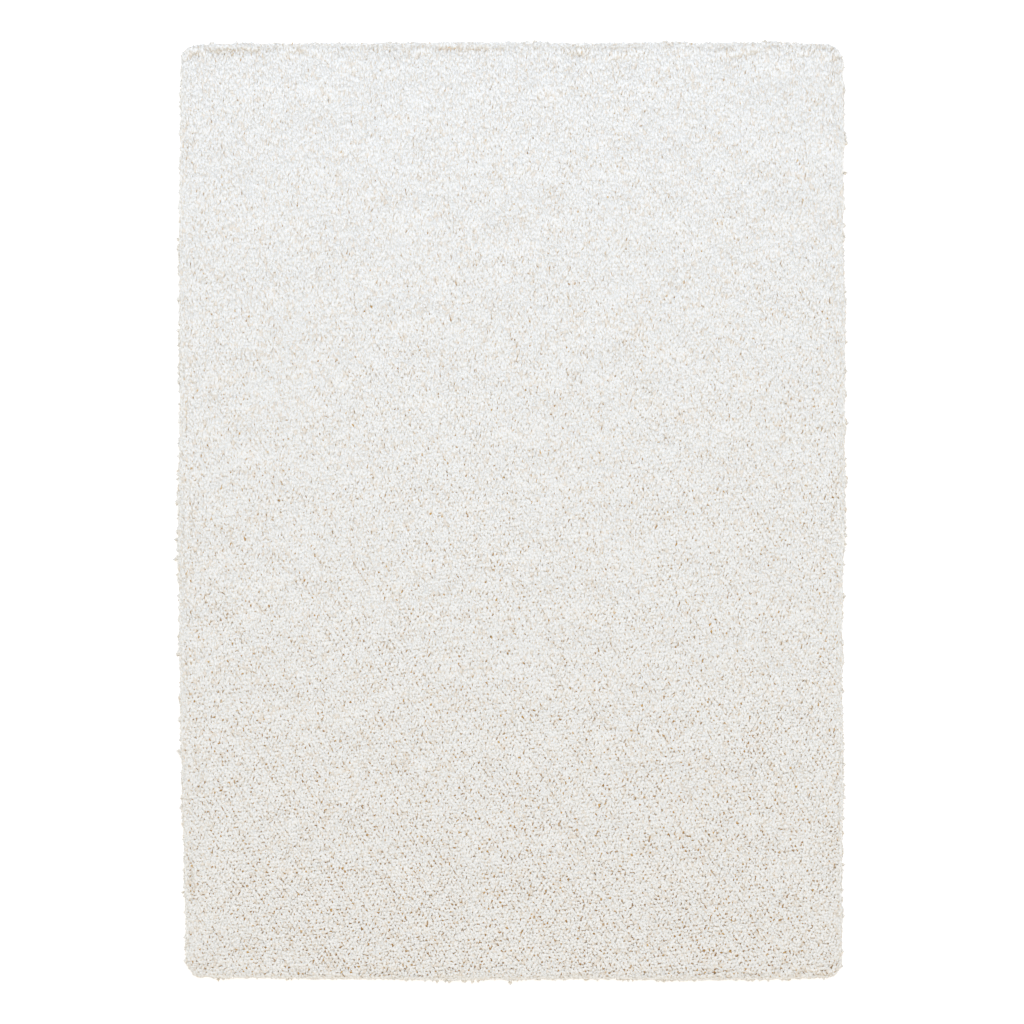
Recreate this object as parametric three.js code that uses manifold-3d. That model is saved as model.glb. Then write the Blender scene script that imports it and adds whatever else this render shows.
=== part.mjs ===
// A shag rug lying flat: one cloth, woven with a long cut pile of thick twisted yarn.
// Ground weave and pile are a single lumpy slab, and the yarn at its rim splays out in locks
// that hide the edge of the weave.
// Millimetres, +Z up. The origin is the centre of the underside, and +Y runs along the length.
import * as THREE from "three";
import { mergeVertices } from "three/addons/utils/BufferGeometryUtils.js";
import Module from "manifold-3d";

const wasm = await Module();
wasm.setup();

// Driving sizes of the cloth.
const CLOTH_WIDTH = 1200;
const CLOTH_LENGTH = 1700;
const CORNER_RADIUS = 24;
const PILE_REACH = 18; // how far the longest rim yarn stands past the woven edge
const PILE_TOP = 31; // mean height of the yarn ends above the floor

// The slab: a grid that is fine along the edge, where the pile rounds over, and coarse inside.
const CLUMP_PITCH = 47; // spacing of the pile's clumps
const CLUMP_RISE = 3; // how far a clump stands above or below the mean
const CLUMP_DRIFT = 8; // how far a clump lies off its place in the grid

// The fine grid lines: distance in from the woven edge, how far the top lies below PILE_TOP
// there, and the share of the clumps' rise that is left.
const EDGE_LINES = [
  { inset: 0, drop: 7, riseShare: 0.5 },
  { inset: 9, drop: 2, riseShare: 1 },
  { inset: 22, drop: 0, riseShare: 1 },
];

// The slab's side, from below the floor up: height, and how far it bulges past the woven edge.
// What lies below the floor is cut away, which leaves a flat underside.
const CUT_DEPTH = 4;
const WALL = [
  { height: -CUT_DEPTH, bulge: -1 },
  { height: PILE_TOP - EDGE_LINES[0].drop, bulge: 3 },
];

// The rim locks stand in two tiers, in turn. Heights are those of a lock's centreline.
const LOCK_COUNT = 288;
const LOCK_SIDES = 3;
const LOCK_STEPS = 2;
const LOCK_ROOT_DEPTH = 5; // how far a lock starts inside the woven edge
const LOCK_ROOT_RADIUS = 10.5;
const LOCK_TIP_RADIUS = 4;
const LOCK_SWELL = 1; // how full a lock stays between its root and its tip
const LOCK_TIERS = [
  { rootHeight: 12, tipHeight: 4.5, reach: 16 },
  { rootHeight: 16, tipHeight: 10, reach: 14 },
];
const LOCK_VARIES = { height: 1.5, reach: 5, yaw: 5 };

// How the edge wanders off a straight line, outwards, at even steps along each side.
const EDGE_WANDER = {
  left: [-1, 0, 3, 1.5, 1, 5, 3, 1, -3, -7, -11], // from the +Y end
  right: [-1, 0.5, -1, 4, 2.5, 3, -2, -2, 0, -3, -2.5], // from the +Y end
  far: [-3, -1, 0, 0.5, 1, 1.5, -0.5, 1.5, 0, 2, -3], // from the left
  near: [-4, -2, -0.5, 0, 2, 1.5, 0.5, 1, 2, 0, -1.5], // from the left
};
const WANDER_FADE = 8; // power by which the wander fades towards the middle

const YARN_COLOUR = 0xece7da;
const YARN_ROUGHNESS = 0.95;

const CLUMP_SEED = 7;
const LOCK_SEED = 23;
const SAME_POINT = 1e-3; // points closer than this are one

const halfWidth = CLOTH_WIDTH / 2;
const halfLength = CLOTH_LENGTH / 2;

// Repeatable random numbers from -1 to 1.
function randomFrom(seed) {
  let state = seed;
  return () => {
    state = (state + 0x6d2b79f5) | 0;
    let mixed = Math.imul(state ^ (state >>> 15), 1 | state);
    mixed = (mixed + Math.imul(mixed ^ (mixed >>> 7), 61 | mixed)) ^ mixed;
    return ((mixed ^ (mixed >>> 14)) >>> 0) / 2147483648 - 1;
  };
}

// A row of even values, read at a share from 0 to 1 with smooth steps between them.
function smoothRead(values, share) {
  const place = THREE.MathUtils.clamp(share, 0, 1) * (values.length - 1);
  const from = Math.min(Math.floor(place), values.length - 2);
  const blend = THREE.MathUtils.smoothstep(place - from, 0, 1);
  return THREE.MathUtils.lerp(values[from], values[from + 1], blend);
}

// Moves a point of the plain rounded rectangle to where the real, uneven outline has it.
function wandered(x, y) {
  const fromFarEnd = (halfLength - y) / CLOTH_LENGTH;
  const fromLeft = (x + halfWidth) / CLOTH_WIDTH;
  const side = x < 0 ? EDGE_WANDER.left : EDGE_WANDER.right;
  const end = y < 0 ? EDGE_WANDER.near : EDGE_WANDER.far;
  const sideWeight = Math.min(1, Math.abs(x) / halfWidth) ** WANDER_FADE;
  const endWeight = Math.min(1, Math.abs(y) / halfLength) ** WANDER_FADE;
  return new THREE.Vector2(
    x + Math.sign(x) * smoothRead(side, fromFarEnd) * sideWeight,
    y + Math.sign(y) * smoothRead(end, fromLeft) * endWeight,
  );
}

// Grid lines across a side: fine by both edges, even in between.
function gridLines(half) {
  const inner = half - EDGE_LINES.at(-1).inset;
  const cells = Math.round((2 * inner) / CLUMP_PITCH);
  const between = Array.from({ length: cells - 1 }, (_, k) => -inner + (2 * inner * (k + 1)) / cells);
  const low = EDGE_LINES.map(({ inset }) => inset - half);
  const high = EDGE_LINES.map(({ inset }) => half - inset).reverse();
  return [...low, ...between, ...high];
}

// Draws a square corner in to a quarter circle: each small square ring becomes an arc.
function roundedCorner(x, y) {
  const beyondX = Math.abs(x) - (halfWidth - CORNER_RADIUS);
  const beyondY = Math.abs(y) - (halfLength - CORNER_RADIUS);
  if (beyondX <= 0 || beyondY <= 0) return new THREE.Vector2(x, y);
  const drawIn = Math.max(beyondX, beyondY) / Math.hypot(beyondX, beyondY);
  return new THREE.Vector2(
    Math.sign(x) * (halfWidth - CORNER_RADIUS + beyondX * drawIn),
    Math.sign(y) * (halfLength - CORNER_RADIUS + beyondY * drawIn),
  );
}

// Which way is out at a point of the rounded rectangle's rim.
function outwardAt(x, y) {
  const beyondX = Math.max(0, Math.abs(x) - (halfWidth - CORNER_RADIUS));
  const beyondY = Math.max(0, Math.abs(y) - (halfLength - CORNER_RADIUS));
  return new THREE.Vector2(Math.sign(x) * beyondX, Math.sign(y) * beyondY).normalize();
}

function asSolid(geometry) {
  geometry.deleteAttribute("normal");
  geometry.deleteAttribute("uv");
  const merged = mergeVertices(geometry, SAME_POINT);
  return new wasm.Manifold(
    new wasm.Mesh({
      numProp: 3,
      vertProperties: new Float32Array(merged.attributes.position.array),
      triVerts: new Uint32Array(merged.index.array),
    }),
  );
}

// A box whose grid is drawn out to the cloth's outline, with its top raised in clumps.
function pileSlab() {
  const linesX = gridLines(halfWidth);
  const linesY = gridLines(halfLength);
  const cellsX = linesX.length - 1;
  const cellsY = linesY.length - 1;
  const levels = WALL.length - 1;
  const geometry = new THREE.BoxGeometry(cellsX, cellsY, levels, cellsX, cellsY, levels);
  const random = randomFrom(CLUMP_SEED);
  const clumps = linesX.map(() => linesY.map(() => [random(), random(), random()]));
  const points = geometry.attributes.position;
  for (let k = 0; k < points.count; k++) {
    const column = Math.round(points.getX(k) + cellsX / 2);
    const row = Math.round(points.getY(k) + cellsY / 2);
    const level = Math.round(points.getZ(k) + levels / 2);
    const [driftX, driftY, rise] = clumps[column][row];
    const fromEdge = Math.min(column, cellsX - column, row, cellsY - row);
    const inside = fromEdge >= EDGE_LINES.length;
    const flat = roundedCorner(linesX[column], linesY[row]);
    const out = fromEdge === 0 ? outwardAt(flat.x, flat.y) : new THREE.Vector2();
    const place = wandered(flat.x, flat.y).addScaledVector(out, WALL[level].bulge);
    let height = WALL[level].height;
    if (level === levels) {
      const { drop, riseShare } = EDGE_LINES[Math.min(fromEdge, EDGE_LINES.length - 1)];
      height = PILE_TOP - drop + rise * CLUMP_RISE * riseShare;
      if (inside) place.add(new THREE.Vector2(driftX, driftY).multiplyScalar(CLUMP_DRIFT));
    }
    points.setXYZ(k, place.x, place.y, height);
  }
  return asSolid(geometry);
}

// The woven edge, walked round at even steps.
function rimPoints(count) {
  const edge = new THREE.Shape();
  const cornerX = halfWidth - CORNER_RADIUS;
  const cornerY = halfLength - CORNER_RADIUS;
  edge.absarc(cornerX, cornerY, CORNER_RADIUS, 0, Math.PI / 2);
  edge.absarc(-cornerX, cornerY, CORNER_RADIUS, Math.PI / 2, Math.PI);
  edge.absarc(-cornerX, -cornerY, CORNER_RADIUS, Math.PI, 1.5 * Math.PI);
  edge.absarc(cornerX, -cornerY, CORNER_RADIUS, 1.5 * Math.PI, 2 * Math.PI);
  edge.closePath();
  return edge.getSpacedPoints(count).slice(0, count);
}

// One lock: a tapered prism bent from inside the slab's side, out and down to its tip.
function rimLock(rim, tier, random) {
  const out = outwardAt(rim.x, rim.y);
  const along = new THREE.Vector2(out.y, -out.x);
  const start = wandered(rim.x, rim.y);
  const reach = tier.reach + random() * LOCK_VARIES.reach;
  const lift = random() * LOCK_VARIES.height;
  const yaw = random() * LOCK_VARIES.yaw;
  const geometry = new THREE.CylinderGeometry(LOCK_TIP_RADIUS, LOCK_ROOT_RADIUS, 1, LOCK_SIDES, LOCK_STEPS);
  const points = geometry.attributes.position;
  for (let k = 0; k < points.count; k++) {
    const share = points.getY(k) + 0.5;
    const fullness = 1 + LOCK_SWELL * share * (1 - share);
    const outBy = THREE.MathUtils.lerp(-LOCK_ROOT_DEPTH, reach, share);
    const alongBy = yaw * share + points.getX(k) * fullness;
    const drop = (tier.rootHeight - tier.tipHeight) * share ** 2;
    const height = tier.rootHeight - drop + lift * share + points.getZ(k) * fullness;
    const place = start.clone().addScaledVector(out, outBy).addScaledVector(along, alongBy);
    points.setXYZ(k, place.x, place.y, height);
  }
  return drawnIn(geometry);
}

// Moves a lock that stands past the rug's reach back to it.
function drawnIn(geometry) {
  geometry.computeBoundingBox();
  const { min, max } = geometry.boundingBox;
  const limitX = halfWidth + PILE_REACH;
  const limitY = halfLength + PILE_REACH;
  return geometry.translate(
    Math.min(0, limitX - max.x) + Math.max(0, -limitX - min.x),
    Math.min(0, limitY - max.y) + Math.max(0, -limitY - min.y),
    0,
  );
}

function shagRug() {
  const random = randomFrom(LOCK_SEED);
  const belowFloor = new THREE.BoxGeometry(2 * CLOTH_WIDTH, 2 * CLOTH_LENGTH, 2 * CUT_DEPTH);
  let rug = pileSlab().subtract(asSolid(belowFloor.translate(0, 0, -CUT_DEPTH)));
  rimPoints(LOCK_COUNT).forEach((rim, k) => {
    rug = rug.add(asSolid(rimLock(rim, LOCK_TIERS[k % LOCK_TIERS.length], random)));
  });
  const { vertProperties, triVerts } = rug.getMesh();
  const geometry = new THREE.BufferGeometry();
  geometry.setAttribute("position", new THREE.BufferAttribute(vertProperties, 3));
  geometry.setIndex(new THREE.BufferAttribute(triVerts, 1));
  geometry.computeVertexNormals();
  const yarn = new THREE.MeshStandardMaterial({ color: YARN_COLOUR, roughness: YARN_ROUGHNESS });
  const mesh = new THREE.Mesh(geometry, yarn);
  mesh.name = "shag_rug";
  return mesh;
}

const rug = new THREE.Group();
rug.add(shagRug());

export default rug;
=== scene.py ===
# A cream shag rug, laid flat: a woven ground, a thick bed of pile and the cut yarns that
# stand out of it, with looser yarns that hang over the edge. Lengths are in millimetres unless a
# note says otherwise, and makePiece turns them to metres.
import bpy
import numpy as np
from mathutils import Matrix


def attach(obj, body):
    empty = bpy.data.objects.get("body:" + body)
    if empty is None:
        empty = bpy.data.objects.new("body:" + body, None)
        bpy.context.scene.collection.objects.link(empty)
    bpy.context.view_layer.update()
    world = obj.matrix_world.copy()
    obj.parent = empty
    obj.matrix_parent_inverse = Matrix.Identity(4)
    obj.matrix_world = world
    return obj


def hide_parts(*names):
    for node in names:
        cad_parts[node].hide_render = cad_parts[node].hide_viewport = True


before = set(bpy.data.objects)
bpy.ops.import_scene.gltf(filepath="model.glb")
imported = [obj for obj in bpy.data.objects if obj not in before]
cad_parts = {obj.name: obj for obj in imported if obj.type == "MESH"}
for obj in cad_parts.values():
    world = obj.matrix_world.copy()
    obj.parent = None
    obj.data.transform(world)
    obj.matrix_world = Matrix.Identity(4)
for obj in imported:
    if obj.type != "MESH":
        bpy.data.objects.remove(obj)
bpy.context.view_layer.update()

mm = 0.001
tiny = 1e-9  # keeps a division from meeting nought
rugNode = "shag_rug"

# Sizes that every piece shares: the same cloth as the solid's.
cloth = {
    "width": 1200,
    "length": 1700,
    "cornerRadius": 24,
    "pileTop": 31,  # mean height of the yarn ends
    "edgeInsets": [0, 9, 22],
    "clumpPitch": 47,
    "clumpRise": 3,
    "clumpDrift": 8,
    "clumpSeed": 7,
    # how the edge wanders off a straight line, outwards, at even steps along each side
    "wanderLeft": [-1, 0, 3, 1.5, 1, 5, 3, 1, -3, -7, -11],
    "wanderRight": [-1, 0.5, -1, 4, 2.5, 3, -2, -2, 0, -3, -2.5],
    "wanderFar": [-3, -1, 0, 0.5, 1, 1.5, -0.5, 1.5, 0, 2, -3],
    "wanderNear": [-4, -2, -0.5, 0, 2, 1.5, 0.5, 1, 2, 0, -1.5],
    "wanderFade": 8,
}
halfWidth = cloth["width"] / 2
halfLength = cloth["length"] / 2
half = np.array([halfWidth, halfLength])


# small tools

def linearColour(hexCode):
    # sRGB to linear: divide by 12.92 near black, and a 2.4 power curve above it
    srgb = np.array([int(hexCode[k:k + 2], 16) for k in (1, 3, 5)]) / 255
    linear = np.where(srgb <= 0.04045, srgb / 12.92, ((srgb + 0.055) / 1.055) ** 2.4)
    return (*linear.tolist(), 1.0)


def unit(vectors):
    return vectors / np.linalg.norm(vectors, axis=-1, keepdims=True)


def addNode(tree, kind, settings=None, inputs=None, links=None):
    # settings are the node's own properties, inputs its fixed values, links what feeds it
    node = tree.nodes.new(kind)
    for key, value in (settings or {}).items():
        setattr(node, key, value)
    for key, value in (inputs or {}).items():
        node.inputs[key].default_value = value
    for key, source in (links or {}).items():
        tree.links.new(source, node.inputs[key])
    return node


def newMaterial(name):
    material = bpy.data.materials.new(name)
    material.use_nodes = True
    material.node_tree.nodes.clear()
    return material, material.node_tree


def makePiece(name, points, faceSets, material, uv=None):
    # faceSets are arrays of corner numbers, one array for each face size
    mesh = bpy.data.meshes.new(name)
    corners = np.concatenate([faces.ravel() for faces in faceSets]).astype(np.int32)
    sizes = np.concatenate([np.full(len(faces), faces.shape[1]) for faces in faceSets])
    mesh.vertices.add(len(points))
    mesh.vertices.foreach_set("co", (points * mm).astype(np.float32).ravel())
    mesh.loops.add(len(corners))
    mesh.loops.foreach_set("vertex_index", corners)
    mesh.polygons.add(len(sizes))
    starts = np.concatenate([[0], np.cumsum(sizes)[:-1]])
    mesh.polygons.foreach_set("loop_start", starts.astype(np.int32))
    mesh.polygons.foreach_set("loop_total", sizes.astype(np.int32))
    mesh.polygons.foreach_set("use_smooth", np.ones(len(sizes), bool))
    if uv is not None:
        layer = mesh.uv_layers.new(name="OFBake")
        layer.uv.foreach_set("vector", uv.astype(np.float32).ravel())
    mesh.update(calc_edges=True)
    mesh.validate()
    mesh.materials.append(material)
    piece = bpy.data.objects.new(name, mesh)
    bpy.context.scene.collection.objects.link(piece)
    return piece


# the outline, shared by the weave, the bed and the yarns

def smoothRead(values, share):
    # even values read at a share from 0 to 1, blended by 3t^2 - 2t^3 between neighbours
    values = np.asarray(values, float)
    place = np.clip(share, 0, 1) * (len(values) - 1)
    low = np.minimum(place.astype(int), len(values) - 2)
    t = place - low
    return values[low] + (values[low + 1] - values[low]) * t * t * (3 - 2 * t)


def wandered(flat):
    # moves points of the plain rounded rectangle out by the wander of the side they are near
    x, y = flat[..., 0], flat[..., 1]
    fromFar = (halfLength - y) / cloth["length"]
    fromLeft = (x + halfWidth) / cloth["width"]
    side = np.where(x < 0, smoothRead(cloth["wanderLeft"], fromFar),
                    smoothRead(cloth["wanderRight"], fromFar))
    end = np.where(y < 0, smoothRead(cloth["wanderNear"], fromLeft),
                   smoothRead(cloth["wanderFar"], fromLeft))
    weight = np.minimum(1, np.abs(flat) / half) ** cloth["wanderFade"]
    out = np.stack([np.sign(x) * side, np.sign(y) * end], -1)
    return flat + out * weight


def edgeDepth(flat):
    # how deep a point lies inside the plain rounded rectangle, and which way is out there
    radius = cloth["cornerRadius"]
    beyond = np.abs(flat) - (half - radius)
    outside = np.maximum(beyond, 0)
    far = np.linalg.norm(outside, axis=-1)
    depth = radius - far - np.minimum(beyond.max(-1), 0)
    nearest = np.where((beyond[..., :1] > beyond[..., 1:]), [1.0, 0.0], [0.0, 1.0])
    way = np.where(far[..., None] > tiny, outside / np.maximum(far, tiny)[..., None], nearest)
    return depth, way * np.sign(flat)


def gridLines(reach, step):
    # fine lines along both edges, even ones between
    insets = np.array(cloth["edgeInsets"], float)
    inner = reach - insets[-1]
    between = np.linspace(-inner, inner, int(round(2 * inner / step)) + 1)[1:-1]
    return np.concatenate([insets - reach, between, (reach - insets)[::-1]])


def solidRandom(seed, count):
    # the solid's own repeatable random numbers, from -1 to 1
    with np.errstate(over="ignore"):
        one = np.uint32(1)
        state = np.uint32(seed) + np.arange(1, count + 1, dtype=np.uint32) * np.uint32(0x6D2B79F5)
        mixed = (state ^ (state >> np.uint32(15))) * (one | state)
        turned = (mixed ^ (mixed >> np.uint32(7))) * (np.uint32(61) | mixed)
        mixed = (mixed + turned) ^ mixed
        return (mixed ^ (mixed >> np.uint32(14))) / 2**31 - 1


def readGrid(linesX, linesY, values, points):
    # a table of values on grid lines, read anywhere and blended by 3t^2 - 2t^3 between the lines
    def place(lines, at):
        low = np.clip(np.searchsorted(lines, at, side="right") - 1, 0, len(lines) - 2)
        t = np.clip((at - lines[low]) / (lines[low + 1] - lines[low]), 0, 1)
        return low, (t * t * (3 - 2 * t))[:, None]
    i, s = place(linesX, points[:, 0])
    j, t = place(linesY, points[:, 1])
    near = values[i, j] * (1 - s) + values[i + 1, j] * s
    far = values[i, j + 1] * (1 - s) + values[i + 1, j + 1] * s
    return near * (1 - t) + far * t


clumpX = gridLines(halfWidth, cloth["clumpPitch"])
clumpY = gridLines(halfLength, cloth["clumpPitch"])
clumpTable = solidRandom(cloth["clumpSeed"], 3 * len(clumpX) * len(clumpY))
clumpTable = clumpTable.reshape(len(clumpX), len(clumpY), 3)


def clumpHeight(flat):
    # the lumps of the solid's top: each lies off its place in the grid by its own drift
    drift = readGrid(clumpX, clumpY, clumpTable[..., :2] * cloth["clumpDrift"], flat)
    return readGrid(clumpX, clumpY, clumpTable[..., 2:], flat - drift)[:, 0] * cloth["clumpRise"]


def softNoise(flat, pitch, seed, channels=1):
    # random values on a square grid of that pitch, read with smooth steps between, -1 to 1
    lines = np.arange(-halfLength - 3 * pitch, halfLength + 3 * pitch, pitch)
    values = np.random.default_rng(seed).uniform(-1, 1, (len(lines), len(lines), channels))
    return readGrid(lines, lines, values, flat)


def shell(step, topHeight, profile, bottomHeight):
    # a grid with rounded corners and a given height, whose edge is carried down ring by ring: each
    # ring lies at a share of the edge's height and a push outwards, and the last is closed by a face
    linesX, linesY = gridLines(halfWidth, step), gridLines(halfLength, step)
    plain = np.stack(np.meshgrid(linesX, linesY, indexing="ij"), -1)
    radius = cloth["cornerRadius"]
    beyond = np.maximum(np.abs(plain) - (half - radius), 0)
    # in the corner squares, each square ring is drawn in to an arc
    drawIn = beyond.max(-1) / np.maximum(np.linalg.norm(beyond, axis=-1), tiny)
    drawIn = np.where(beyond.min(-1) > 0, drawIn, 1)[..., None]
    cornerPlace = np.sign(plain) * (half - radius + beyond * drawIn)
    flat = np.where(beyond.min(-1, keepdims=True) > 0, cornerPlace, plain)
    nx, ny = len(linesX), len(linesY)
    number = np.arange(nx * ny).reshape(nx, ny)
    rim = np.concatenate([number[:-1, 0], number[-1, :-1], number[:0:-1, -1], number[0, :0:-1]])
    flat = flat.reshape(-1, 2)
    placed = wandered(flat)
    top = np.column_stack([placed, topHeight(flat)])
    quads = np.stack([number[:-1, :-1], number[1:, :-1], number[1:, 1:], number[:-1, 1:]], -1)
    points, faces = [top], [quads.reshape(-1, 4)]
    out = edgeDepth(flat[rim])[1]
    above = rim
    count = len(rim)
    for row in profile:
        height = bottomHeight + (top[rim, 2] - bottomHeight) * row["share"]
        ring = np.column_stack([placed[rim] + out * row["out"], height])
        below = sum(len(p) for p in points) + np.arange(count)
        faces.append(np.stack([above, below, np.roll(below, -1), np.roll(above, -1)], -1))
        points.append(ring)
        above = below
    faces.append(above[None, ::-1])
    return np.concatenate(points), faces


# the bed: the packed lower part of the pile
bed = {
    "depth": 4,  # how far the bed lies below the yarn ends
    "edgeTop": 20.5,  # the bed's height at the woven edge
    "shoulder": 26,  # how far in from the edge the bed has risen to its full height
    "step": 16,
    "bottom": 2.4,
    "profile": [
        {"share": 0.8, "out": 4.5},
        {"share": 0.45, "out": 7.0},
        {"share": 0.15, "out": 6.5},
        {"share": 0.0, "out": 4.0},
    ],
}


def bedHeight(flat):
    # the mean height plus the clumps, falling to the edge along a quarter of an ellipse
    depth = edgeDepth(flat)[0]
    full = cloth["pileTop"] - bed["depth"] + clumpHeight(flat)
    t = np.clip(depth / bed["shoulder"], 0, 1)
    rise = np.sqrt(1 - (1 - t) ** 2)
    return bed["edgeTop"] + (full - bed["edgeTop"]) * rise


shadeCount = 16
# the tan tint of the slipped yarns is painted shade of the gaps they sit in
slippedShades = 4  # the lowest of them are for yarns that have slipped down
yarnEnd = {
    "uneven": 0.3,  # how far the plies lie off even steps round the yarn, in radians
    "frayed": (0.8, 1.25),  # how far out they stand, as a share of the radius
    "ringPlace": 0.85,  # places along the yarn in its colours: the ring, the tip
    "tipPlace": 0.99,
    "margin": 0.08,  # kept free at both sides of a shade step
    "drawnAlong": [0, 1, 0.03],  # the rug's length, tipped so that no cut faces exactly that way
}


def yarnEnds(tip, way, face, crown, radius, stretch, length, sideCount, seed):
    # a cut end: a cone that opens from a point deep in the pile up to an oval ring square to face,
    # where the plies start to part, and closes again over the frayed tip
    random = np.random.default_rng(seed)
    across = unit(np.cross(face, yarnEnd["drawnAlong"]))
    upward = np.cross(face, across)
    angle = random.uniform(0, 2 * np.pi, (len(tip), 1)) + 2 * np.pi * np.arange(sideCount) / sideCount
    angle += random.uniform(-yarnEnd["uneven"], yarnEnd["uneven"], angle.shape)
    frayed = radius[:, None] * random.uniform(*yarnEnd["frayed"], angle.shape)
    wide, tall = frayed / np.sqrt(stretch)[:, None], frayed * np.sqrt(stretch)[:, None]
    ring = (tip - way * crown[:, None])[:, None]
    ring = ring + (np.cos(angle) * wide)[..., None] * across[:, None]
    ring = ring + (np.sin(angle) * tall)[..., None] * upward[:, None]
    root = tip - way * length
    return np.concatenate([root[:, None], ring, tip[:, None]], 1)  # yarn, point, xyz


def endFaces(count, sideCount):
    # from each side of the ring one triangle goes down to the root and one up to the tip
    side = np.arange(sideCount)
    start = (np.arange(count) * (sideCount + 2))[:, None, None]
    here, following = 1 + side, 1 + (side + 1) % sideCount
    lower = np.stack([following, here, np.zeros(sideCount, int)], -1)
    upper = np.stack([np.full(sideCount, sideCount + 1), here, following], -1)
    return [(start + np.concatenate([lower, upper])[None]).reshape(-1, 3)]


def endUv(shade, rootV, sideCount):
    # u holds the yarn's shade in steps, and within a step the way round; v runs along the yarn
    side = np.arange(sideCount)
    step = np.clip((shade * shadeCount).astype(int), 0, shadeCount - 1)[:, None, None]
    margin, used = yarnEnd["margin"], 1 - 2 * yarnEnd["margin"]
    left = margin + used * side / sideCount
    right = margin + used * (side + 1) / sideCount
    middle = (left + right) / 2
    lowerU = np.stack([right, left, middle], -1)
    upperU = np.stack([middle, left, right], -1)
    u = (step + np.concatenate([lowerU, upperU])[None]) / shadeCount
    v = np.full(u.shape, yarnEnd["ringPlace"])
    v[:, :sideCount, 2] = rootV[:, None]
    v[:, sideCount:, 0] = yarnEnd["tipPlace"]
    return np.stack([u, v], -1).reshape(-1, 2)


yarnLook = {
    # the root and low colours are the cream yarn with painted shade and painted warm scattered light of
    # the gaps between the yarns
    "shadedRootColour": "#c68d3e",
    "shadedLowColour": "#e9c27e",
    "lowPlace": 0.8,  # places along the yarn, from its root at 0 to its tip at 1
    "bodyPlace": 0.86,
    "bodyColour": "#f8f9f4",
    "tipColour": "#f8fbff",
    "slippedShadeColour": "#deb25c",
    "shadeLow": 0.95,
    "shadeHigh": 1.02,
    "fibresAround": 44,  # streaks round a yarn: 0.8 mm each, coarser than real fibres so that they show
    "fibresAlong": 4,  # and 4.5 mm long
    "shadesApart": 7.3,  # how far apart in the noise two shades lie
    "twist": 0.5,
    "partingShadeColour": "#e8dcc2",
    "partingFull": 0.28,
    "partingEnd": 0.46,
    "fibreBump": 0.45,
    "fibreDepth": 1.2,
    "roughness": 0.9,
    "sheen": 0.25,
}


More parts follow.
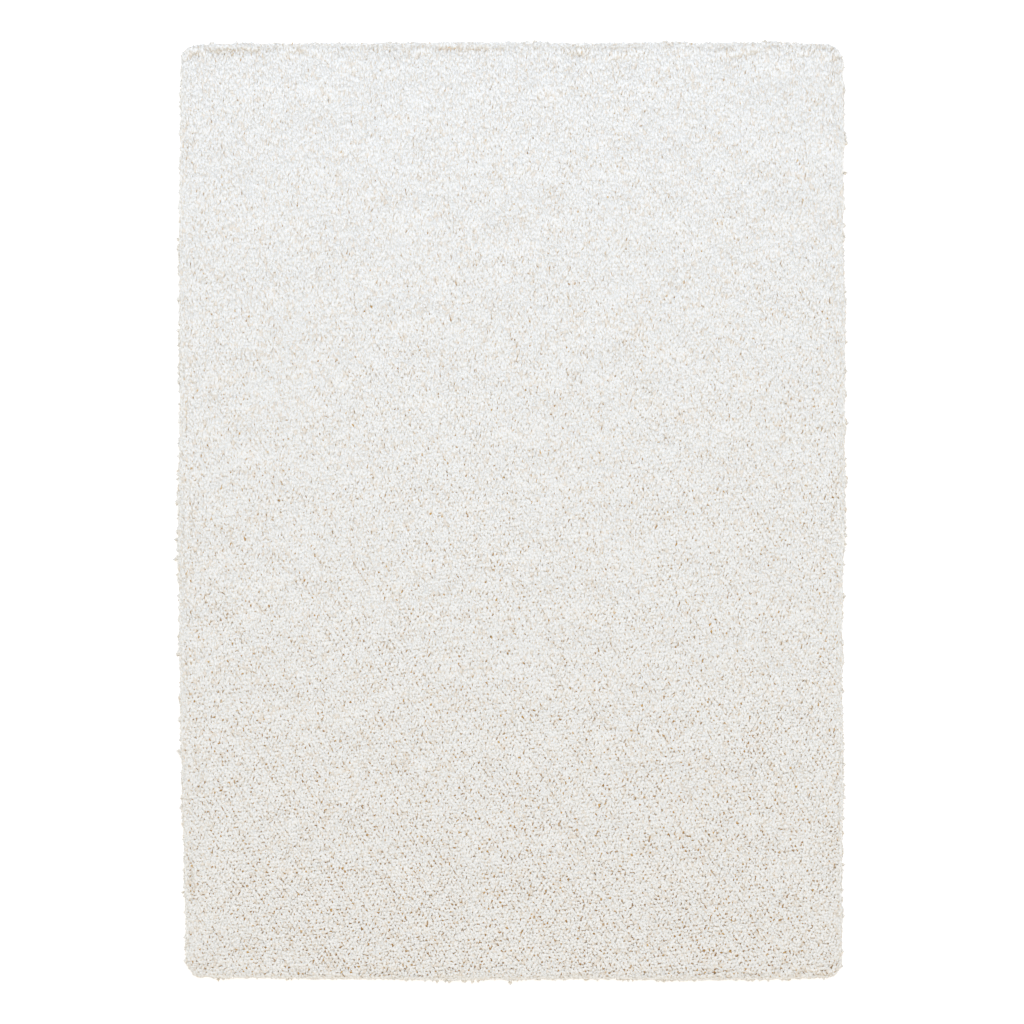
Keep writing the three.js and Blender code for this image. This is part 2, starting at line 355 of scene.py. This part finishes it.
def yarnMaterial():
    # heat-set twisted polyester yarn, cut: pale and dry at the cut end; down the yarn, into the gaps,
    # painted shade and painted warm light scattered between the yarns make it darker and warmer
    material, tree = newMaterial("heat_set_polyester_yarn")
    uv = addNode(tree, "ShaderNodeUVMap", {"uv_map": "OFBake"})
    split = addNode(tree, "ShaderNodeSeparateXYZ", links={"Vector": uv.outputs[0]})
    scaled = addNode(tree, "ShaderNodeMath", {"operation": "MULTIPLY"}, {1: shadeCount},
                     {0: split.outputs["X"]})
    shadeStep = addNode(tree, "ShaderNodeMath", {"operation": "FLOOR"}, links={0: scaled.outputs[0]})
    shade = addNode(tree, "ShaderNodeMath", {"operation": "DIVIDE"}, {1: shadeCount - 1},
                    {0: shadeStep.outputs[0]})
    around = addNode(tree, "ShaderNodeMath", {"operation": "FRACT"}, links={0: scaled.outputs[0]})
    ramp = addNode(tree, "ShaderNodeValToRGB", links={"Fac": split.outputs["Y"]})
    stops = [(0.0, yarnLook["shadedRootColour"]), (yarnLook["lowPlace"], yarnLook["shadedLowColour"]),
             (yarnLook["bodyPlace"], yarnLook["bodyColour"]), (1.0, yarnLook["tipColour"])]
    ramp.color_ramp.elements[0].position = stops[0][0]
    ramp.color_ramp.elements[0].color = linearColour(stops[0][1])
    ramp.color_ramp.elements[1].position = stops[-1][0]
    ramp.color_ramp.elements[1].color = linearColour(stops[-1][1])
    for position, colour in stops[1:-1]:
        ramp.color_ramp.elements.new(position).color = linearColour(colour)
    tone = addNode(tree, "ShaderNodeMapRange", {}, {"From Min": 0.0, "From Max": 1.0,
                   "To Min": yarnLook["shadeLow"], "To Max": yarnLook["shadeHigh"]},
                   {"Value": shade.outputs[0]})
    # the yarns that have slipped down get a tan tint up to their cut ends: painted shade of the gaps
    # they sit in, like the painted shade at the feet of the others
    slipped = addNode(tree, "ShaderNodeMapRange", {}, {"From Min": 0.0, "From Max": slippedShades + 1,
                      "To Min": 1.0, "To Max": 0.0}, {"Value": shadeStep.outputs[0]})
    slipShaded = addNode(tree, "ShaderNodeMix", {"data_type": "RGBA"},
                     {7: linearColour(yarnLook["slippedShadeColour"])},
                     {0: slipped.outputs["Result"], 6: ramp.outputs["Color"]})
    toned = addNode(tree, "ShaderNodeHueSaturation", {}, {"Hue": 0.5, "Saturation": 1.0},
                    {"Color": slipShaded.outputs[2], "Value": tone.outputs["Result"]})
    # fibres: soft noise drawn out along the yarn and swept a little round it, no two shades alike
    swept = addNode(tree, "ShaderNodeMath", {"operation": "MULTIPLY_ADD"}, {1: yarnLook["twist"]},
                    {0: split.outputs["Y"], 2: around.outputs[0]})
    fibrePlace = addNode(tree, "ShaderNodeCombineXYZ",
                         links={"X": swept.outputs[0], "Y": split.outputs["Y"],
                                "Z": shadeStep.outputs[0]})
    fibreCounts = (yarnLook["fibresAround"], yarnLook["fibresAlong"], yarnLook["shadesApart"])
    fibreScale = addNode(tree, "ShaderNodeVectorMath", {"operation": "MULTIPLY"}, {1: fibreCounts},
                         {0: fibrePlace.outputs[0]})
    fibres = addNode(tree, "ShaderNodeTexNoise", {"noise_dimensions": "3D"},
                     {"Scale": 1.0, "Detail": 1.0, "Roughness": 0.5}, {"Vector": fibreScale.outputs[0]})
    # the partings between the fibres, low in the bump, get painted shade: a darker, warmer cream
    parting = addNode(tree, "ShaderNodeMapRange", {}, {"From Min": yarnLook["partingFull"],
                      "From Max": yarnLook["partingEnd"], "To Min": 1.0, "To Max": 0.0},
                      {"Value": fibres.outputs["Fac"]})
    partingShaded = addNode(tree, "ShaderNodeMix", {"data_type": "RGBA"},
                     {7: linearColour(yarnLook["partingShadeColour"])},
                     {0: parting.outputs["Result"], 6: toned.outputs["Color"]})
    bump = addNode(tree, "ShaderNodeBump", {},
                   {"Strength": yarnLook["fibreBump"], "Distance": yarnLook["fibreDepth"] * mm},
                   {"Height": fibres.outputs["Fac"]})
    shader = addNode(tree, "ShaderNodeBsdfPrincipled", {}, {
        "Roughness": yarnLook["roughness"], "IOR": 1.5, "Specular IOR Level": 0.3,
        "Sheen Weight": yarnLook["sheen"], "Sheen Roughness": 0.6,
        "Sheen Tint": linearColour(yarnLook["tipColour"])},
        {"Base Color": partingShaded.outputs[2], "Normal": bump.outputs["Normal"]})
    addNode(tree, "ShaderNodeOutputMaterial", links={"Surface": shader.outputs[0]})
    return material


bedLook = {
    "yarnPitch": 4.2,
    # both colours are the pile's cream yarn with painted shade, deeper where the cells part
    "shadedYarnColour": "#e6cda0",
    "gapShadeColour": "#d4ab6c",
    "gapDepth": 3,
    "yarnShare": 0.2,  # the shaded yarn colour is full up to here from its middle, as a share of the pitch
    "gapShare": 0.75,  # and gone from here on
    "edgeColour": "#f1eadb",
    "edgeHeights": (10, 15),  # the edge's colour is full below the first and gone above the second
    "roughness": 0.95,
}


def bedMaterial():
    # the packed lower part of the pile: yarn-sized cells of the pile's cream yarn, given painted shade
    # as they lie deep among the yarns, and more painted shade, darker and warmer, where the cells part
    material, tree = newMaterial("packed_yarn_pile")
    place = addNode(tree, "ShaderNodeTexCoord")
    cells = addNode(tree, "ShaderNodeTexVoronoi", {"feature": "F1", "voronoi_dimensions": "3D"},
                    {"Scale": 1 / (bedLook["yarnPitch"] * mm), "Randomness": 1.0},
                    {"Vector": place.outputs["Object"]})
    ramp = addNode(tree, "ShaderNodeValToRGB", links={"Fac": cells.outputs["Distance"]})
    ramp.color_ramp.elements[0].position = bedLook["yarnShare"]
    ramp.color_ramp.elements[0].color = linearColour(bedLook["shadedYarnColour"])
    ramp.color_ramp.elements[1].position = bedLook["gapShare"]
    ramp.color_ramp.elements[1].color = linearColour(bedLook["gapShadeColour"])
    # down at the floor it is the overlocked edge, sewn with the pale yarn of the pile
    height = addNode(tree, "ShaderNodeSeparateXYZ", links={"Vector": place.outputs["Object"]})
    low, high = bedLook["edgeHeights"]
    edge = addNode(tree, "ShaderNodeMapRange", {}, {"From Min": low * mm, "From Max": high * mm,
                   "To Min": 1.0, "To Max": 0.0}, {"Value": height.outputs["Z"]})
    colour = addNode(tree, "ShaderNodeMix", {"data_type": "RGBA"},
                     {7: linearColour(bedLook["edgeColour"])},
                     {0: edge.outputs["Result"], 6: ramp.outputs["Color"]})
    bump = addNode(tree, "ShaderNodeBump", {"invert": True},
                   {"Strength": 1.0, "Distance": bedLook["gapDepth"] * mm},
                   {"Height": cells.outputs["Distance"]})
    shader = addNode(tree, "ShaderNodeBsdfPrincipled", {}, {
        "Roughness": bedLook["roughness"], "Specular IOR Level": 0.2,
        "Sheen Weight": 0.1, "Sheen Roughness": 0.6},
        {"Base Color": colour.outputs[2], "Normal": bump.outputs["Normal"]})
    addNode(tree, "ShaderNodeOutputMaterial", links={"Surface": shader.outputs[0]})
    return material


weaveLook = {
    "threadPitch": 3.2,
    "threadDepth": 0.6,
    "threadColour": "#d8cdb8",
    "sizeColour": "#c3b596",
    "roughness": 0.85,
}


def weaveMaterial():
    # plain-woven polypropylene ground, sized with latex: a dull beige with a fine square weave
    material, tree = newMaterial("woven_ground_latex_sized")
    place = addNode(tree, "ShaderNodeTexCoord")
    split = addNode(tree, "ShaderNodeSeparateXYZ", links={"Vector": place.outputs["Object"]})
    wave = 2 * np.pi / (weaveLook["threadPitch"] * mm)
    waves = []
    for axis in "XY":
        phase = addNode(tree, "ShaderNodeMath", {"operation": "MULTIPLY"}, {1: wave},
                        {0: split.outputs[axis]})
        waves.append(addNode(tree, "ShaderNodeMath", {"operation": "SINE"}, links={0: phase.outputs[0]}))
    crossing = addNode(tree, "ShaderNodeMath", {"operation": "MULTIPLY"},
                       links={0: waves[0].outputs[0], 1: waves[1].outputs[0]})
    share = addNode(tree, "ShaderNodeMapRange", {}, {"From Min": -1.0, "From Max": 1.0},
                    {"Value": crossing.outputs[0]})
    colour = addNode(tree, "ShaderNodeMix", {"data_type": "RGBA"},
                     {6: linearColour(weaveLook["threadColour"]),
                      7: linearColour(weaveLook["sizeColour"])},
                     {0: share.outputs["Result"]})
    bump = addNode(tree, "ShaderNodeBump", {},
                   {"Strength": 0.6, "Distance": weaveLook["threadDepth"] * mm},
                   {"Height": crossing.outputs[0]})
    shader = addNode(tree, "ShaderNodeBsdfPrincipled", {},
                     {"Roughness": weaveLook["roughness"], "Specular IOR Level": 0.3},
                     {"Base Color": colour.outputs[2], "Normal": bump.outputs["Normal"]})
    addNode(tree, "ShaderNodeOutputMaterial", links={"Surface": shader.outputs[0]})
    return material


# camera: straight down on the middle, the frame so wide at the height of the rug's outline
camera = {
    "lens": 50,
    "sensor": 36,
    "frameWidth": 1.884,  # metres, as the next two
    "outlineHeight": 0.013,
    "shift": -0.001,  # of the camera, along the rug
}
cameraData = bpy.data.cameras.new("camera")
cameraData.lens = camera["lens"]
cameraData.sensor_width = camera["sensor"]
cameraObject = bpy.data.objects.new("camera", cameraData)
distance = camera["frameWidth"] * camera["lens"] / camera["sensor"]
cameraObject.location = (0, camera["shift"], camera["outlineHeight"] + distance)
bpy.context.scene.collection.objects.link(cameraObject)
bpy.context.scene.camera = cameraObject
print("camera placed")

# the woven ground, a thin closed sheet that the pile stands on
weave = {
    "thickness": 3,
    "step": 40,
    "profile": [
        {"share": 0.8, "out": 0.5},
        {"share": 0.4, "out": 0.7},
        {"share": 0.0, "out": 0.0},
    ],
}
points, faces = shell(weave["step"], lambda flat: np.full(len(flat), float(weave["thickness"])),
                      weave["profile"], 0)
groundWeave = makePiece("ground_weave", points, faces, weaveMaterial())
print("ground woven")

points, faces = shell(bed["step"], bedHeight, bed["profile"], bed["bottom"])
pileBed = makePiece("pile_bed", points, faces, bedMaterial())
print("bed laid")

# the rounded rim of the pile
rim = {
    "inward": 11,  # how far in from the woven edge the pile starts to round over
    "reach": 9.1,  # how far it stands past the woven edge
    "foot": 4.5,  # height of the lowest yarn ends
    "square": 3.4,  # the curve's power: 2 is an ellipse, more is squarer
    "tuck": 1.5,  # how far the foot is drawn back in
    "crown": 4.0,  # as the pile's, but at the foot
    "varies": 2.6,  # how unevenly the yarns hang out at the foot, one by one and then in tufts
    "tufts": [{"pitch": 26, "reach": 1.8}, {"pitch": 9, "reach": 3.2}],
    "narrow": 0.85,  # how wide they are at the foot
    "fills": 0.15,  # how much thicker where the rim turns down, which closes its gaps
    "rootPlace": (0.05, 0.86),  # a root's place in the yarn's colours, on the flat and on the rim
    "rootTurn": 6,  # how soon it goes from the one to the other as the rim turns down
}
pile = {
    "rowPitch": 3.8,  # between rows, and between yarns in a row
    "jitter": 1.1,
    "turn": 33,  # degrees, of the rows against the cloth's edges
    "length": 18,  # from the point deep in the pile to the cut end
    "crown": 0.4,  # from where the yarn is widest to its tip
    "sides": 3,
    "radius": 5.5,
    "radiusVaries": 0.8,
    "opens": 0.11,  # how much wider the cut ends are at the far end, narrower at the near one
    "stretch": 1.6,  # how much longer than wide a cut end is
    "stretchFar": 1.45,  # that times this at the far end, and over this at the near one
    "face": -0.22,  # which way the cut faces, as a share of the lean: below 0, like shingles
    "lumps": 0.6,  # how much of the solid's lumps the cut ends follow
    "rise": 0.17,  # how unevenly the yarns are cut
    "lean": 24,  # degrees, towards the far end
    "yarnLean": 5.5,  # degrees, each yarn its own way
    "shade": (0.55, 0.2),  # the mean and the spread of the yarns' shades, from 0 to 1
    "clearance": 0.3,  # nothing sinks into the floor
    "bands": 5,
    "seed": 11,
    "endSeed": 200,
}
# neighbouring yarns go together in tufts, wider across the rug than along it: they draw
# together, they are cut higher or lower, and they lean one way
tufts = {
    "shift": [{"pitch": 14, "wide": 3.5, "shift": 0.8}, {"pitch": 9, "wide": 1.5, "shift": 0.4}],
    "shiftSeed": 90,
    "lean": [{"pitch": 18, "wide": 3.2, "lean": 1.4}],
    "leanSeed": 100,
    "rise": [{"pitch": 17, "wide": 3.2, "rise": 0.16}, {"pitch": 13, "wide": 1.3, "rise": 0.3}],
    "riseSeed": 110,
    "rimSeed": 130,
}
# single yarns that have slipped down and leave a gap, never two side by side
slips = {
    "every": 4,  # one yarn in so many of a row may slip down
    "rowStep": 2,  # how far those places move on from row to row
    "share": 0.95,  # how many of those do
    "fewerFar": 0.32,  # how many fewer at the far end, and more at the near one
    "patch": {"pitch": 17, "wide": 2, "share": 0.7},
    "patchSeed": 140,
    "depth": (0.9, 2.7),
    "lessFar": 0.2,  # how much less deep at the far end
    "paleFar": 0.45,  # how many shades paler their painted gap shade is at the far end, as a share of the slipped shades
    "upright": 0.85,  # none slips where the rim has turned further down than this
}


def rimCurve():
    # x = sin(a)^(2/n), z = cos(a)^(2/n), walked by length: place, height share, facing there
    angle = np.linspace(0, np.pi / 2, 400)
    power = 2 / rim["square"]
    run = rim["inward"] + rim["reach"]
    drop = cloth["pileTop"] - rim["foot"]
    share = np.cos(angle) ** power
    place = run * np.sin(angle) ** power - rim["inward"] - rim["tuck"] * (1 - share) ** 4
    walk = np.concatenate([[0], np.cumsum(np.hypot(np.diff(place), np.diff(share) * drop))])
    facing = np.arctan2(-np.gradient(share * drop), np.gradient(place))
    return walk, place, share, facing


def tuftNoise(flat, tuft, seed, channels=1):
    # soft noise with its cells drawn out across the rug
    return softNoise(flat / [tuft["wide"], 1], tuft["pitch"], seed, channels)


def yarnLattice(random):
    # where the yarns stand with the rim unrolled flat: a turned lattice, its rows staggered by half
    # a step, each point off by its own jitter and by the pull of its tufts; and which may slip down
    beyond = rimCurve()[0][-1] - rim["inward"]
    corner = np.hypot(halfWidth, halfLength) + beyond
    pitch = pile["rowPitch"]
    lines = np.arange(-corner, corner, pitch)
    flat = np.stack(np.meshgrid(lines, lines, indexing="ij"), -1)
    flat[..., 0] += (np.arange(len(lines)) % 2)[None, :] * pitch / 2
    place, row = np.indices(flat.shape[:2])
    maySlip = ((place + slips["rowStep"] * row) % slips["every"] == 0).ravel()
    turn = np.radians(pile["turn"])
    flat = flat.reshape(-1, 2) @ np.array([[np.cos(turn), np.sin(turn)], [-np.sin(turn), np.cos(turn)]])
    near = (np.abs(flat) < half + beyond).all(-1)
    flat, maySlip = flat[near], maySlip[near]
    flat += random.uniform(-1, 1, flat.shape) * pile["jitter"]
    for k, tuft in enumerate(tufts["shift"]):
        flat += tuftNoise(flat, tuft, tufts["shiftSeed"] + k, 2) * tuft["shift"]
    onRug = edgeDepth(flat)[0] > -beyond
    return flat[onRug], maySlip[onRug]


def pileSurface(flat):
    # points inside the rim's start stay where they are, on top; the others are walked down its curve
    walk, reach, share, facing = rimCurve()
    depth, out = edgeDepth(flat)
    along = rim["inward"] - depth
    onRim = along > 0
    walked = flat + out * (depth + np.interp(along, walk, reach))[:, None]
    plain = np.where(onRim[:, None], walked, flat)
    heightShare = np.where(onRim, np.interp(along, walk, share), 1)
    tilt = np.where(onRim, np.interp(along, walk, facing), 0)
    top = cloth["pileTop"] + clumpHeight(plain) * pile["lumps"]
    base = np.column_stack([wandered(plain), rim["foot"] + (top - rim["foot"]) * heightShare])
    normal = np.column_stack([out * np.sin(tilt)[:, None], np.cos(tilt)])
    return base, normal


def yarnWays(random, flat, normal):
    # the pile's own lean, its tufts' and each yarn's, added up as sideways travel for each unit of
    # height and laid over the surface's normal: which way the yarn goes and which way its cut faces
    slope = np.zeros(flat.shape)
    slope[:, 1] = np.tan(np.radians(pile["lean"]))
    for k, tuft in enumerate(tufts["lean"]):
        slope += tuftNoise(flat, tuft, tufts["leanSeed"] + k, 2) * np.tan(np.radians(tuft["lean"]))
    slope += random.normal(0, 1, flat.shape) * np.tan(np.radians(pile["yarnLean"]))
    slope *= normal[:, 2:]
    leaning = np.column_stack([slope, np.zeros(len(flat))])
    return unit(normal + leaning), unit(normal + leaning * pile["face"])


def yarnHeights(random, flat, upright, maySlip):
    # how far each tip stands past the surface: its own share, its tufts', less where it has slipped
    count = len(flat)
    towardsFar = flat[:, 1] / halfLength
    over = random.normal(0, 1, count) * pile["rise"]
    for k, tuft in enumerate(tufts["rise"]):
        over += tuftNoise(flat, tuft, tufts["riseSeed"] + k)[:, 0] * tuft["rise"]
    patch = tuftNoise(flat, slips["patch"], slips["patchSeed"])[:, 0] * slips["patch"]["share"]
    share = slips["share"] * (1 - slips["fewerFar"] * towardsFar + patch)
    slipped = maySlip & (random.uniform(0, 1, count) < share) & (upright > slips["upright"])
    over -= slipped * random.uniform(*slips["depth"], count) * (1 - slips["lessFar"] * towardsFar)
    rimOver = random.normal(0, 1, count) * rim["varies"]
    for k, tuft in enumerate(rim["tufts"]):
        rimOver += softNoise(flat, tuft["pitch"], tufts["rimSeed"] + k)[:, 0] * tuft["reach"]
    return over + rimOver * (1 - upright) ** 2, slipped


def pileYarns():
    # a yarn at each point: its tip, its way and its cut's, its sizes, and its place among the colours
    random = np.random.default_rng(pile["seed"])
    flat, maySlip = yarnLattice(random)
    base, normal = pileSurface(flat)
    upright = normal[:, 2]  # 1 on the flat, near 0 at the foot of the rim
    way, face = yarnWays(random, flat, normal)
    over, slipped = yarnHeights(random, flat, upright, maySlip)
    tip = base + normal * over[:, None]
    count = len(flat)
    towardsFar = flat[:, 1] / halfLength  # -1 at the near end, 1 at the far end
    crown = pile["crown"] + (rim["crown"] - pile["crown"]) * (1 - upright) ** 2
    radius = pile["radius"] + random.uniform(-1, 1, count) * pile["radiusVaries"]
    radius *= 1 + pile["opens"] * towardsFar
    bend = 4 * upright * (1 - upright)  # 0 on the flat and at the foot, 1 halfway down
    radius *= 1 + (rim["narrow"] - 1) * (1 - upright) + rim["fills"] * bend
    # the pile lies flatter, its cut ends drawn out longer, towards the far end
    stretch = pile["stretch"] * pile["stretchFar"] ** towardsFar
    stretch = 1 + (stretch - 1) * upright
    # the lowest share of the shades is for the slipped yarns, which stay just under its end
    slippedShare = slippedShades / shadeCount
    mean, spread = pile["shade"]
    shade = np.clip(mean + spread * random.normal(0, 1, count), slippedShare, 1)
    slippedShade = random.uniform(0, 1, count) + slips["paleFar"] * towardsFar
    shade = np.where(slipped, slippedShare * np.clip(slippedShade, 0, 0.99), shade)
    # at the rim the sides of the yarns show; they keep the yarn's pale colour, without the painted shade
    # at the roots
    flatRoot, rimRoot = rim["rootPlace"]
    rootV = flatRoot + (rimRoot - flatRoot) * np.minimum(1, rim["rootTurn"] * (1 - upright))
    return tip, way, face, crown, radius, stretch, shade, rootV


tip, way, face, crown, radius, stretch, shade, rootV = pileYarns()
yarnStuff = yarnMaterial()
band = np.argsort(np.argsort(tip[:, 1])) * pile["bands"] // len(tip)
pileBands = []
for k in range(pile["bands"]):
    pick = band == k
    ends = yarnEnds(tip[pick], way[pick], face[pick], crown[pick], radius[pick], stretch[pick],
                    pile["length"], pile["sides"], pile["endSeed"] + k)
    ends[..., 2] = np.maximum(ends[..., 2], pile["clearance"])
    pileBands.append(makePiece(f"pile_band_{k + 1}", ends.reshape(-1, 3),
                               endFaces(pick.sum(), pile["sides"]), yarnStuff,
                               endUv(shade[pick], rootV[pick], pile["sides"])))
print(f"{len(tip)} yarns stand")

for piece in (groundWeave, pileBed, *pileBands):
    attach(piece, "root")
    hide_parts(rugNode)

# a painted floor, matt and evenly white
floor = {
    "size": 12000,
    "drop": 0.4,  # how far it lies under the weave
    "colour": "#fafafa",
    "glow": 0.3,  # light of its own, which keeps shadows faint
}
floorMaterial, tree = newMaterial("painted_studio_floor")
floorShader = addNode(tree, "ShaderNodeBsdfPrincipled", {}, {
    "Base Color": linearColour(floor["colour"]), "Roughness": 0.9, "Specular IOR Level": 0.1,
    "Emission Color": (1, 1, 1, 1), "Emission Strength": floor["glow"]})
addNode(tree, "ShaderNodeOutputMaterial", links={"Surface": floorShader.outputs[0]})
floorCorners = np.array([[-1, -1, 0], [1, -1, 0], [1, 1, 0], [-1, 1, 0]]) * floor["size"] / 2
floorPiece = makePiece("floor", floorCorners - [0, 0, floor["drop"]], [np.array([[0, 1, 2, 3]])],
                       floorMaterial)

# even light from all round, a cooler lamp past the far end and a weak warm one at the near end;
# their places and sizes are in metres
studio = {
    "sky": "#fffcf7",
    "skyStrength": 0.853,
    "boxes": [
        {"name": "far_softbox", "place": (0, 2.5, 2.8), "size": 2.6, "watts": 49, "colour": "#d1e1ff"},
        {"name": "near_softbox", "place": (0, -2.4, 3.2), "size": 2.6, "watts": 10, "colour": "#ffcb92"},
    ],
}
world = bpy.data.worlds.new("studio")
bpy.context.scene.world = world
world.use_nodes = True
background = world.node_tree.nodes["Background"]
background.inputs["Color"].default_value = linearColour(studio["sky"])
background.inputs["Strength"].default_value = studio["skyStrength"]
for box in studio["boxes"]:
    data = bpy.data.lights.new(box["name"], "AREA")
    data.size = box["size"]
    data.energy = box["watts"]
    data.color = linearColour(box["colour"])[:3]
    light = bpy.data.objects.new(box["name"], data)
    light.location = box["place"]
    # both stand over the rug's long centre line, so one turn about x aims them at its middle
    x, y, z = box["place"]
    light.rotation_euler = (np.arctan2(-y, z), 0, 0)
    bpy.context.scene.collection.objects.link(light)
bpy.context.scene.view_settings.view_transform = "Standard"
bpy.context.scene.cycles.diffuse_bounces = 10  # light passes deep into a pale pile
print("studio lit")
